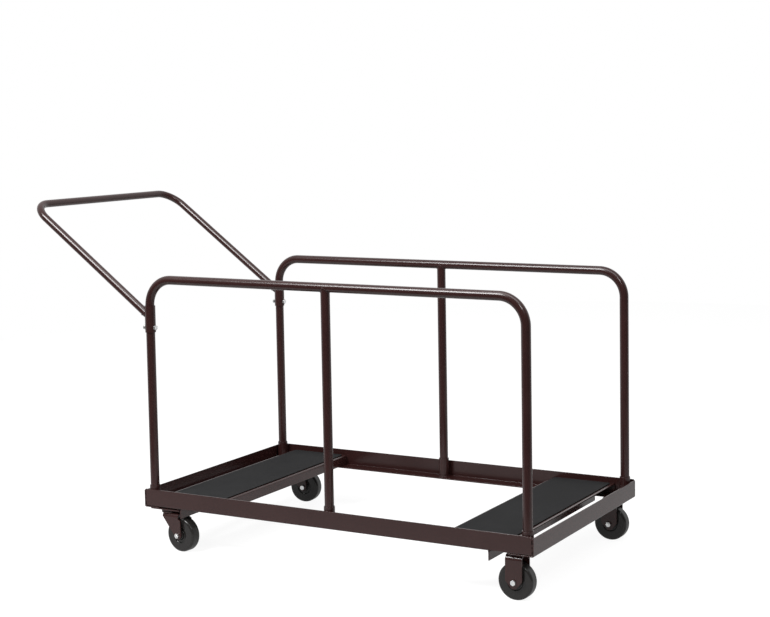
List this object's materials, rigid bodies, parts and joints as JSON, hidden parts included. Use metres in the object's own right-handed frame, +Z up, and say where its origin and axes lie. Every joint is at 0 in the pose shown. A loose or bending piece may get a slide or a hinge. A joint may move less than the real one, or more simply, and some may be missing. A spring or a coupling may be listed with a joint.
{
  "type": "banquet table trolley",
  "caption": "Low angle-steel trolley base with swivel and rigid casters, tubular side hoops that hold standing tables, and a sloping push handle",
  "frame": {"origin": "on the floor, under the middle of the whole trolley's box", "axes": "+X from the push handle to the rigid-caster end, +Y to the rear side, +Z up; the pictured front side is at -Y"},
  "size_m": [1.632, 0.7154, 0.9898],
  "materials": {
    "brown_paint": "semi-gloss dark brown powder coat on steel",
    "zinc_plate": "bright zinc plate",
    "plain_steel": "plain bright steel",
    "wheel_rubber": "semi-gloss black hard rubber",
    "mat_rubber": "matt black sheet rubber"
  },
  "bodies": {
    "frame": {"front_rail": "brown_paint", "rear_rail": "brown_paint", "left_end_rail": "brown_paint", "right_end_rail": "brown_paint", "left_cross_angle": "brown_paint", "right_cross_angle": "brown_paint", "left_deck_pan": "brown_paint", "right_deck_pan": "brown_paint", "left_deck_bars": "brown_paint", "right_deck_bars": "brown_paint", "front_left_socket": "brown_paint", "front_centre_socket": "brown_paint", "front_right_socket": "brown_paint", "rear_left_socket": "brown_paint", "rear_centre_socket": "brown_paint", "rear_right_socket": "brown_paint", "front_hoop": "brown_paint", "rear_hoop": "brown_paint", "front_centre_post": "brown_paint", "rear_centre_post": "brown_paint", "handle_tube": "brown_paint", "front_handle_sleeve": "brown_paint", "rear_handle_sleeve": "brown_paint", "front_left_caster_plate": "brown_paint", "rear_left_caster_plate": "brown_paint", "front_right_caster_plate": "brown_paint", "rear_right_caster_plate": "brown_paint", "caster_packings": "brown_paint", "front_left_ball_race": "brown_paint", "rear_left_ball_race": "brown_paint", "front_right_fork": "brown_paint", "rear_right_fork": "brown_paint", "handle_bolts": "zinc_plate", "handle_nuts": "zinc_plate", "kingpin_nuts": "zinc_plate", "rigid_axle_bolts": "zinc_plate", "rigid_axle_nuts": "zinc_plate", "swivel_balls": "plain_steel", "kingpins": "plain_steel", "rigid_axle_sleeves": "plain_steel", "left_deck_mat": "mat_rubber", "right_deck_mat": "mat_rubber"},
    "front_swivel": {"front_left_fork": "brown_paint", "front_left_axle_bolt": "zinc_plate", "front_left_axle_nut": "zinc_plate", "front_left_axle_sleeve": "plain_steel"},
    "rear_swivel": {"rear_left_fork": "brown_paint", "rear_left_axle_bolt": "zinc_plate", "rear_left_axle_nut": "zinc_plate", "rear_left_axle_sleeve": "plain_steel"},
    "front_left_roller": {"front_left_wheel": "wheel_rubber", "front_left_bush": "plain_steel"},
    "front_right_roller": {"front_right_wheel": "wheel_rubber", "front_right_bush": "plain_steel"},
    "rear_left_roller": {"rear_left_wheel": "wheel_rubber", "rear_left_bush": "plain_steel"},
    "rear_right_roller": {"rear_right_wheel": "wheel_rubber", "rear_right_bush": "plain_steel"}
  },
  "joints": [
    {"name": "front_caster_swivel", "type": "hinge", "parent": "frame", "child": "front_swivel", "pos_m": [-0.33515, -0.319, 0.1215], "axis": [0, 0, 1], "continuous": true},
    {"name": "front_left_wheel_spin", "type": "hinge", "parent": "front_swivel", "child": "front_left_roller", "pos_m": [-0.28886, -0.32346, 0.04875], "axis": [0.0958, 0.9954, 0], "continuous": true},
    {"name": "front_right_wheel_spin", "type": "hinge", "parent": "frame", "child": "front_right_roller", "pos_m": [0.75655, -0.319, 0.04875], "axis": [0, 1, 0], "continuous": true},
    {"name": "rear_caster_swivel", "type": "hinge", "parent": "frame", "child": "rear_swivel", "pos_m": [-0.33515, 0.319, 0.1215], "axis": [0, 0, 1], "continuous": true},
    {"name": "rear_left_wheel_spin", "type": "hinge", "parent": "rear_swivel", "child": "rear_left_roller", "pos_m": [-0.28886, 0.32346, 0.04875], "axis": [-0.0958, 0.9954, 0], "continuous": true},
    {"name": "rear_right_wheel_spin", "type": "hinge", "parent": "frame", "child": "rear_right_roller", "pos_m": [0.75655, 0.319, 0.04875], "axis": [0, 1, 0], "continuous": true}
  ]
}
